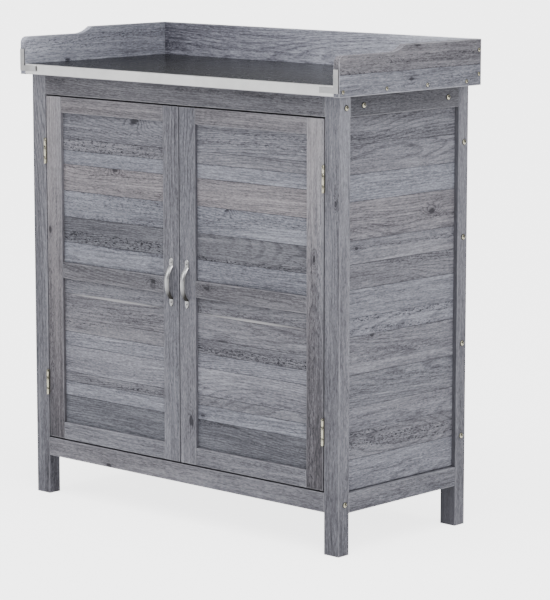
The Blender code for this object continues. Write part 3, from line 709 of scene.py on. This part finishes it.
def tube_rings(x, y, start, end):
    """A knuckle: a bored tube with eased ends, as a closed loop of rings."""
    ease = KNUCKLE_EASE
    profile = ((KNUCKLE_R - ease, start), (KNUCKLE_R - 0.3 * ease, start + 0.3 * ease),
               (KNUCKLE_R, start + ease), (KNUCKLE_R, end - ease),
               (KNUCKLE_R - 0.3 * ease, end - 0.3 * ease), (KNUCKLE_R - ease, end), (BORE_R, end),
               (BORE_R, start))
    return [circle(x, y, z, r, KNUCKLE_POINTS) for r, z in profile]


def plate_rings(x, y, z):
    """A thin plate across X with eased edges, from its lowest to its highest end."""
    (x0, x1), (y0, y1), (z0, z1) = x, y, z
    ease = PLATE_EASE
    rings = []
    for height, inset in ((z0, ease), (z0 + ease, 0.0), (z1 - ease, 0.0), (z1, ease)):
        a0, a1, b0, b1 = x0 + inset, x1 - inset, y0 + inset, y1 - inset
        outline = ((a0 + ease, b0), (a1 - ease, b0), (a1, b0 + ease), (a1, b1 - ease),
                   (a1 - ease, b1), (a0 + ease, b1), (a0, b1 - ease), (a0, b0 + ease))
        rings.append([Vector((px, py, height)) for px, py in outline])
    return rings


def hinge_leaf(node, x, middle, sign, knuckles, body):
    """One leaf with its share of the knuckles, and a tab from each knuckle to the leaf."""
    verts, faces = [], []
    flat = sorted((x + sign * LEAF_INNER, x + sign * LEAF_OUTER))
    span = (middle - LEAF_HALF_HEIGHT, middle + LEAF_HALF_HEIGHT)
    add_shell(verts, faces, plate_rings(flat, (HINGE_Y + LEAF_START, HINGE_Y + LEAF_END), span))
    # Painted shade: strong on the leaf and tabs, light on the knuckles' ends and bores, none on their outsides.
    painted_shade = [LEAF_SHADE] * len(verts)
    for start, end in knuckles:
        rings = tube_rings(x, HINGE_Y, middle + start, middle + end)
        add_shell(verts, faces, rings, loop=True)
        for number, ring in enumerate(rings):
            outside = 0 < number < len(rings) - 3
            painted_shade += [0.0 if outside else KNUCKLE_END_SHADE] * len(ring)
        span = (middle + start, middle + end)
        add_shell(verts, faces, plate_rings(flat, (HINGE_Y + TAB_START, HINGE_Y + TAB_END), span))
        painted_shade += [LEAF_SHADE] * (len(verts) - len(painted_shade))
    leaf = new_piece(node + "_fine", verts, faces, ZINC, body, [node])
    mark_points(leaf, "painted_shade", painted_shade)


def hinge_pin(node, x, middle, half):
    """The pin, with a low head at each end."""
    top = [(r, half - drop) for r, drop in PIN_HEAD]
    profile = top + [(r, -z) for r, z in reversed(top)]
    rings = [circle(x, HINGE_Y, middle + z, r, PIN_POINTS, -1) for r, z in profile]
    verts, faces = [], []
    add_shell(verts, faces, rings)
    new_piece(node + "_fine", verts, faces, ZINC, "carcass", [node])


def hinge(side, s, level):
    pin = f"hinge_pin_{side}_{level}"
    low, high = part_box(pin)
    x, middle = (low.x + high.x) / 2, (low.z + high.z) / 2
    for part, body, sign in (("leg", "carcass", s), ("door", f"door_{side}", -s)):
        hinge_leaf(f"hinge_{part}_leaf_{side}_{level}", x, middle, sign, KNUCKLE_ENDS[part], body)
        open_x = x + sign * LEAF_INNER
        places = [(open_x, HINGE_Y + LEAF_SCREW_ROW, middle + dz) for dz in LEAF_SCREW_HEIGHTS]
        facing = "+x" if sign < 0 else "-x"
        fasteners(f"hinge_screws_{part}_{side}_{level}", LEAF_SCREW, places, facing, body)
    hinge_pin(pin, x, middle, (high.z - low.z) / 2)


for side, s in SIDES.items():
    for level in ("lower", "upper"):
        hinge(side, s, level)

# ---------------------------------------------------------------- handles

HANDLE_FOOT, HANDLE_REACH = 0.0145, 0.0122           # a foot's length, and how far the bow stands off
FOOT_STEPS, BOW_STEPS, ACROSS_STEPS = 14, 60, 12
BOW_FULLNESS = 2.7                                   # above 2, the bow is fuller than a parabola
TOP_NOSE, LOW_NOSE = 0.0052, 0.0072                  # lengths over which the feet's ends narrow
FOOT_WIDTH, END_WIDTH = 0.86, 0.12                   # shares of the bow's width at a foot and at its very end
FOOT_RISE = 0.0015                                   # at this stand-off a foot has turned into the bow
HANDLE_THICKNESS, FOOT_CROWN, BOW_CROWN = 0.0011, 0.0002, 0.0006
HANDLE_ACROSS = [-math.cos(math.pi * k / ACROSS_STEPS) for k in range(ACROSS_STEPS + 1)]
TOP_SCREW, LOW_SCREW, SCREW_SEAT = 0.0075, 0.0085, 0.0012    # from the handle's ends, and above the door


def bow_line(length):
    """Inner line of a handle seen from the side, as (stand-off, height) from its middle, top end first."""
    spring = length / 2 - HANDLE_FOOT
    foot = [(0.0, length / 2 - HANDLE_FOOT * k / FOOT_STEPS) for k in range(FOOT_STEPS)]
    bow = [(HANDLE_REACH * (1 - abs(math.sin(t)) ** BOW_FULLNESS), spring * math.sin(t))
           for t in (math.pi * (0.5 - k / BOW_STEPS) for k in range(BOW_STEPS + 1))]
    line = foot + bow + [(off, -z) for off, z in reversed(foot)]
    points = np.array(line)
    for _ in range(2):
        points[1:-1] = (points[:-2] + 2 * points[1:-1] + points[2:]) / 4
    return points


def strip_ring(middle, half_width, in_bow, normal):
    """Cross-section of a handle about a point of its inner line. in_bow goes from 0 at a foot to 1."""
    crown = FOOT_CROWN + BOW_CROWN * in_bow
    outer, inner = [], []
    for t in HANDLE_ACROSS:
        rise = HANDLE_THICKNESS * (1 - abs(t) ** 7) ** 0.5 + crown * (1 - t * t)
        outer.append(middle + Vector((half_width * t, -normal[0] * rise, normal[1] * rise)))
        inner.append(middle + Vector((half_width * t * 0.97, 0.0, 0.0)))
    return outer + inner[::-1][1:-1]


def door_handle(side):
    """A pressed strip with a crowned face: two screwed feet with rounded ends, and a bow between them."""
    low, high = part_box(f"handle_{side}")
    centre = (low + high) / 2
    face_y, half_width = high.y, (high.x - low.x) / 2
    points = bow_line(high.z - low.z)
    steps = np.linalg.norm(np.diff(points, axis=0), axis=1)
    run = np.concatenate([[0.0], np.cumsum(steps)])
    tangents = np.gradient(points, axis=0)
    tangents /= np.linalg.norm(tangents, axis=1)[:, None]
    rings = []
    for (off, z), (t_off, t_z), place in zip(points, tangents, run):
        nose = min(place / TOP_NOSE, (run[-1] - place) / LOW_NOSE, 1.0)
        in_bow = min(1.0, max(0.0, off / FOOT_RISE))
        rounding = max(math.sqrt(max(0.0, 1 - (1 - nose) ** 2)), END_WIDTH)
        width = half_width * rounding * (FOOT_WIDTH + (1 - FOOT_WIDTH) * in_bow)
        normal = (-t_z, t_off) if t_z <= 0 else (t_z, -t_off)
        middle = Vector((centre.x, face_y - off, centre.z + z))
        rings.append(strip_ring(middle, width, in_bow, normal))
    verts, faces = [], []
    add_shell(verts, faces, rings)
    body = f"door_{side}"
    new_piece(f"handle_{side}_bow", verts, faces, NICKEL, body, [f"handle_{side}"])
    seats = [(centre.x, face_y - SCREW_SEAT, z) for z in (high.z - TOP_SCREW, low.z + LOW_SCREW)]
    fasteners(f"handle_screws_{side}", SMALL_SCREW, seats, "-y", body, NICKEL)


for side in SIDES:
    door_handle(side)

# ---------------------------------------------------------------- floor, light and camera

FLOOR_REACH = 30.0
FLOOR_TONES = ((0.3, (0.86, 0.86, 0.86)), (0.7, (0.90, 0.90, 0.90)))
SKY_TONES = ((0.0, (0.16, 0.16, 0.17)), (0.3, (0.50, 0.50, 0.51)), (1.0, (0.98, 0.99, 1.0)))


def add_object(name, data):
    obj = bpy.data.objects.new(name, data)
    bpy.context.scene.collection.objects.link(obj)
    return obj


def floor_paint():
    """Pale matt paint. It looks brighter to the camera than it shines on the bench."""
    material, n, shader = new_material("floor_paint")
    seen = n.add("ShaderNodeLightPath").outputs["Is Camera Ray"]
    n.feed(shader, {"Base Color": n.ramp(n.noise(n.place(), (2.5, 2.5, 2.5), 4.0), FLOOR_TONES),
                    "Emission Color": (1, 1, 1, 1), "Emission Strength": n.plus(0.6, n.times(seen, 2.4)),
                    "Roughness": 0.85, "Specular IOR Level": 0.2})
    return material


def floor():
    r = FLOOR_REACH
    mesh = bpy.data.meshes.new("floor")
    mesh.from_pydata([(-r, -r, 0), (r, -r, 0), (r, r, 0), (-r, r, 0)], [], [(0, 1, 2, 3)])
    obj = add_object("floor", mesh)
    paint(obj, floor_paint())


def soft_box(name, place, target, size, power):
    light = bpy.data.lights.new(name, "AREA")
    light.shape, light.energy = "ELLIPSE", power
    light.size, light.size_y = size
    obj = add_object(name, light)
    obj.location = place
    obj.rotation_euler = (Vector(target) - Vector(place)).to_track_quat("-Z", "Y").to_euler()


def overhead(name, tilt, strength, spread):
    """A wide light high above, leaning by tilt degrees towards the front and to the right."""
    light = bpy.data.lights.new(name, "SUN")
    light.energy, light.angle = strength, math.radians(spread)
    add_object(name, light).rotation_euler = (math.radians(tilt[0]), math.radians(tilt[1]), 0)


def sky():
    """Light from all around, stronger from above. The camera sees plain white instead."""
    world = bpy.data.worlds.new("studio")
    world.use_nodes = True
    n = Net(world.node_tree)
    height = n.split(n.add("ShaderNodeTexCoord").outputs["Generated"])[2]
    glow = n.ramp(n.step(height, 0.0, 0.9), SKY_TONES)
    seen = n.add("ShaderNodeLightPath").outputs["Is Camera Ray"]
    n.feed(world.node_tree.nodes["Background"], {"Color": n.mix(seen, glow, (1, 1, 1, 1)),
                                                 "Strength": n.plus(0.57, n.times(seen, 3.65))})
    bpy.context.scene.world = world


def studio():
    sky()
    overhead("ceiling", tilt=(14, 14), strength=3.3, spread=60)
    soft_box("key", place=(3.6, -2.2, 2.2), target=(0, 0, 0.45), size=(1.4, 1.4), power=57)
    soft_box("glint", place=(-2.3, -2.6, 1.9), target=(0, -0.2, 0.5), size=(0.3, 3.2), power=18)


def camera():
    """The photo's viewpoint, from a fit of the bench's corners and edges."""
    data = bpy.data.cameras.new("camera")
    data.sensor_fit = "VERTICAL"
    data.sensor_height = 24.0
    data.lens = 110.736
    obj = add_object("camera", data)
    obj.location = (3.628, -3.834, 1.241)
    obj.rotation_euler = (math.radians(90 - 8.964), 0, math.radians(42.791))
    bpy.context.scene.camera = obj


floor()
studio()
camera()
